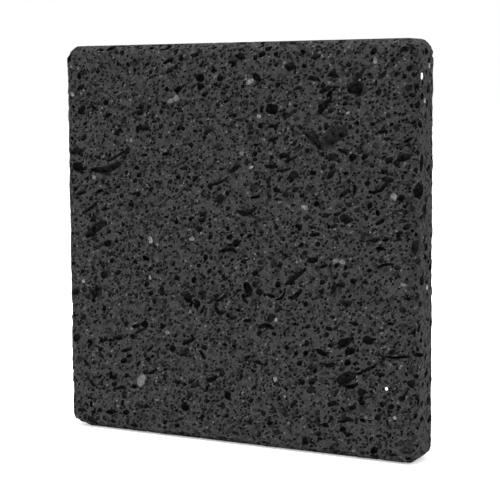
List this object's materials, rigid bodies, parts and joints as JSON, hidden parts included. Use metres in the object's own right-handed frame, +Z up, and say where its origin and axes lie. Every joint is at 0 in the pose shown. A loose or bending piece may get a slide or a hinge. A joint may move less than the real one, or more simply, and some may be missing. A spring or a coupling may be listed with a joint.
{
  "type": "basalt massage stone",
  "caption": "Square slab of porous dark grey basalt with flat sawn faces and rounded edges, warmed or chilled and laid on the body in massage.",
  "frame": {"origin": "middle of the narrow side that the slab stands on", "axes": "+Z up, -Y out of the broad front face, +X to the right as seen from the front; Y runs through the thickness"},
  "size_m": [0.1, 0.013, 0.1],
  "materials": {
    "basalt": "matte"
  },
  "bodies": {
    "root": {"basalt_slab": "basalt"}
  },
  "joints": []
}
